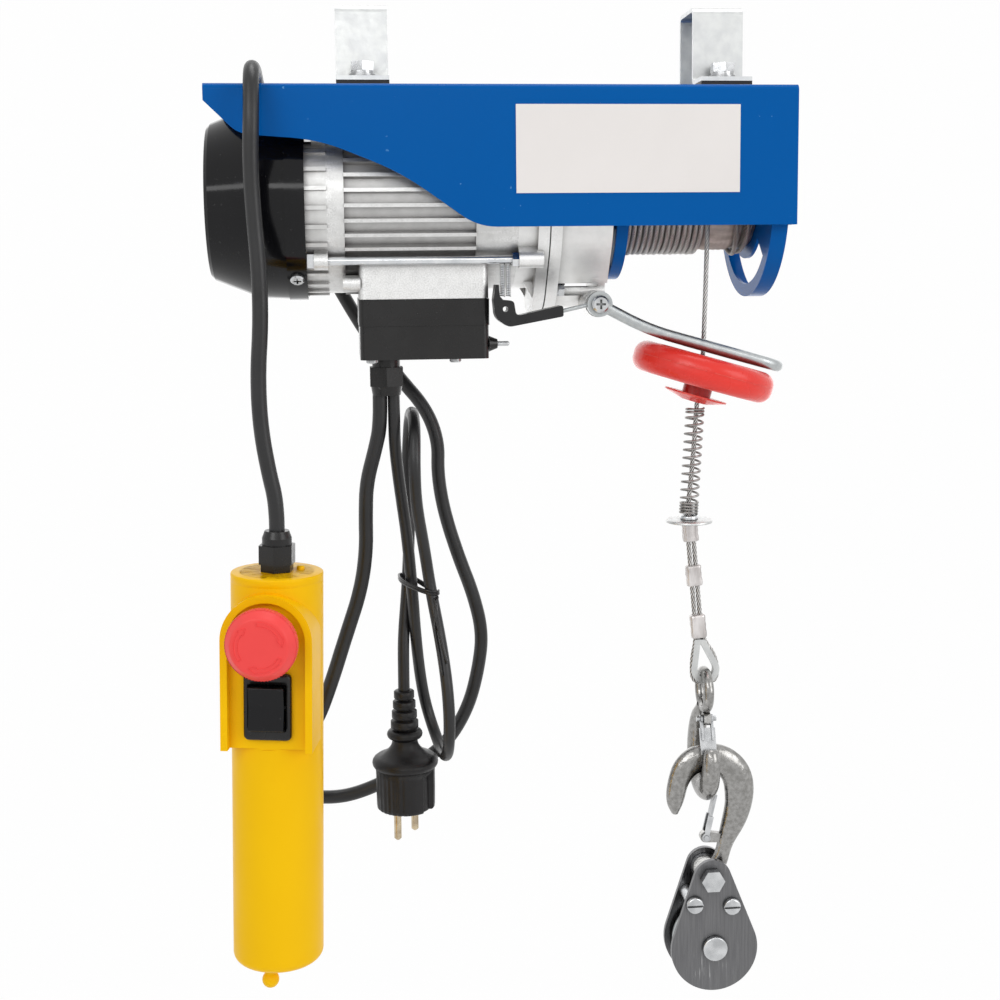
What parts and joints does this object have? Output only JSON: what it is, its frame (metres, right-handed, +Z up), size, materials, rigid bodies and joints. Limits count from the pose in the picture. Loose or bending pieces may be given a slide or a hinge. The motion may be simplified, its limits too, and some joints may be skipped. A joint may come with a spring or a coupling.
{
  "type": "electric hoist",
  "caption": "Electric rope hoist with motor, gearbox, drum, limit lever, hooks, pulley block, control box and hand-held pendant, hung from a square bar by strap clamps.",
  "frame": {"origin": "middle of the support bar seat, level with the undersides of the two clamp tops", "axes": "+X along the bar and the drum axis towards the drum, +Y to the back, +Z up"},
  "size_m": [0.348, 0.2193, 0.6185],
  "materials": {
    "zinc": "mottled bright zinc",
    "steel": "bright steel",
    "chrome": "polished",
    "blue_paint": "glossy blue paint",
    "plate_label": "white label foil",
    "black_gloss": "glossy black",
    "cast_alu": "cast, satin",
    "iron": "machined",
    "copper": "varnished copper winding",
    "rubber_black": "matt black",
    "rope": "stranded steel rope",
    "black_paint": "satin black",
    "black_plastic": "matt black",
    "red_plastic": "glossy red",
    "red_disc": "glossy red",
    "yellow_plastic": "fine-grained yellow",
    "forged": "bright zinc",
    "cable": "matt black",
    "brass_pins": "nickelled brass",
    "grey_plastic": "grey",
    "gasket": "matt"
  },
  "bodies": {
    "hoist": {"clamp_left": "zinc", "clamp_right": "zinc", "clamp_pads": "rubber_black", "clamp_fasteners": "steel", "housing": "blue_paint", "data_plate": "plate_label", "housing_screws": "steel", "fan_cover": "black_gloss", "motor_end_shield": "cast_alu", "motor_body": "cast_alu", "stator_core": "iron", "stator_windings": "copper", "bearings": "steel", "tie_bolts": "chrome", "gearbox_plate": "cast_alu", "gearbox_gasket": "gasket", "gearbox_case": "cast_alu", "gearbox_bolts": "steel", "end_bearing_holder": "steel", "box_body": "cast_alu", "box_cover": "black_plastic", "capacitor": "grey_plastic", "limit_switch": "black_plastic", "cable_gland": "black_plastic", "pendant_body": "yellow_plastic", "pendant_gland": "black_plastic", "rocker_bezel": "black_plastic", "pendant_cable": "cable", "mains_lead": "cable", "plug_body": "cable", "plug_pins": "brass_pins"},
    "drum_set": {"drum": "blue_paint", "drum_shaft": "steel", "output_gear": "steel", "rope_winding": "rope"},
    "lay_set": {"lay_gear": "steel", "lay_shaft": "steel"},
    "rotor_set": {"rotor_core": "iron", "rotor_shaft": "steel", "cooling_fan": "black_plastic"},
    "hook_line": {"rope_line": "rope", "rope_end": "rope", "rope_ferrules": "chrome", "thimble": "zinc", "stop_spring": "steel"},
    "disc": {"stop_disc": "red_disc"},
    "lever": {"limit_bail": "zinc", "limit_arm": "black_paint", "limit_springs": "steel"},
    "tongue": {"switch_tongue": "steel"},
    "upper_hook": {"rope_hook": "forged"},
    "upper_latch": {"rope_hook_latch": "steel"},
    "lower_hook": {"block_hook": "forged"},
    "lower_latch": {"block_hook_latch": "steel"},
    "block": {"block_plates": "zinc", "block_bolts": "steel"},
    "wheel": {"sheave": "steel"},
    "stop_stem": {"stop_button_stem": "black_plastic"},
    "stop_cap": {"stop_button": "red_plastic"},
    "rocker_key": {"rocker": "black_gloss"}
  },
  "joints": [
    {"name": "drum_spin", "type": "hinge", "parent": "hoist", "child": "drum_set", "pos_m": [0.0897, 0, -0.1125], "axis": [1, 0, 0], "range_deg": [0, 1080]},
    {"name": "lay_spin", "type": "hinge", "parent": "hoist", "child": "lay_set", "pos_m": [0.013, 0, -0.1445], "axis": [1, 0, 0], "range_deg": [-5840, 8]},
    {"name": "rotor_spin", "type": "hinge", "parent": "hoist", "child": "rotor_set", "pos_m": [-0.08, 0, -0.1125], "axis": [1, 0, 0], "range_deg": [-8, 31500]},
    {"name": "hook_slide", "type": "slide", "parent": "hoist", "child": "hook_line", "axis": [0, 0, -1], "range_m": [0, 0.64], "deforming": ["rope_line"]},
    {"name": "disc_slide", "type": "slide", "parent": "hook_line", "child": "disc", "axis": [-0.1305, 0, -0.9914], "range_m": [0, 0.02], "stiffness_N_per_m": 400, "springref_m": -0.012, "deforming": ["stop_spring"]},
    {"name": "limit_lever", "type": "hinge", "parent": "hoist", "child": "lever", "pos_m": [0.0296, -0.047, -0.1758], "axis": [0, -1, 0], "range_deg": [0, 8.5], "stiffness_Nm_per_rad": 0.6, "springref_deg": -11.46, "deforming": ["limit_springs"]},
    {"name": "switch_press", "type": "hinge", "parent": "hoist", "child": "tongue", "pos_m": [-0.0385, -0.037, -0.199], "axis": [0, 1, 0], "range_deg": [0, 6], "stiffness_Nm_per_rad": 0.01, "springref_deg": -11.46},
    {"name": "rope_hook_swing", "type": "hinge", "parent": "hook_line", "child": "upper_hook", "pos_m": [0.0992, -0.0325, -0.4087], "axis": [0, 1, 0], "range_deg": [-15, 15]},
    {"name": "rope_hook_latch", "type": "hinge", "parent": "upper_hook", "child": "upper_latch", "pos_m": [0.0992, -0.0375, -0.438], "axis": [1, 0, 0], "range_deg": [0, 10], "stiffness_Nm_per_rad": 0.02, "springref_deg": -17.19},
    {"name": "block_swing", "type": "hinge", "parent": "upper_hook", "child": "lower_hook", "pos_m": [0.0992, -0.0325, -0.4653], "axis": [1, 0, 0], "range_deg": [-20, 20]},
    {"name": "block_latch", "type": "hinge", "parent": "lower_hook", "child": "lower_latch", "pos_m": [0.1003, -0.0325, -0.5174], "axis": [0, 1, 0], "range_deg": [0, 8], "stiffness_Nm_per_rad": 0.02, "springref_deg": -17.19},
    {"name": "block_turn", "type": "hinge", "parent": "lower_hook", "child": "block", "pos_m": [0.1017, -0.0325, -0.541], "axis": [0, 1, 0], "range_deg": [-12, 12]},
    {"name": "sheave_spin", "type": "hinge", "parent": "block", "child": "wheel", "pos_m": [0.104, -0.0325, -0.5872], "axis": [0, 1, 0], "continuous": true},
    {"name": "stop_press", "type": "slide", "parent": "hoist", "child": "stop_stem", "axis": [0.1564, 0.9877, -0.0038], "range_m": [0, 0.004]},
    {"name": "stop_release_turn", "type": "hinge", "parent": "stop_stem", "child": "stop_cap", "pos_m": [-0.17261, -0.12938, -0.357], "axis": [0.1564, 0.9877, -0.0038], "range_deg": [0, 30], "stiffness_Nm_per_rad": 0.02},
    {"name": "rocker_tilt", "type": "hinge", "parent": "hoist", "child": "rocker_key", "pos_m": [-0.16998, -0.10667, -0.39687], "axis": [0.9874, -0.1564, -0.0241], "range_deg": [-11, 11], "stiffness_Nm_per_rad": 0.05}
  ],
  "couplings": [
    {"joint": "lay_spin", "follows": "drum_spin", "ratio": -5.4},
    {"joint": "rotor_spin", "follows": "drum_spin", "ratio": 29.16},
    {"joint": "hook_slide", "follows": "drum_spin", "m_per_rad": 0.0325}
  ]
}
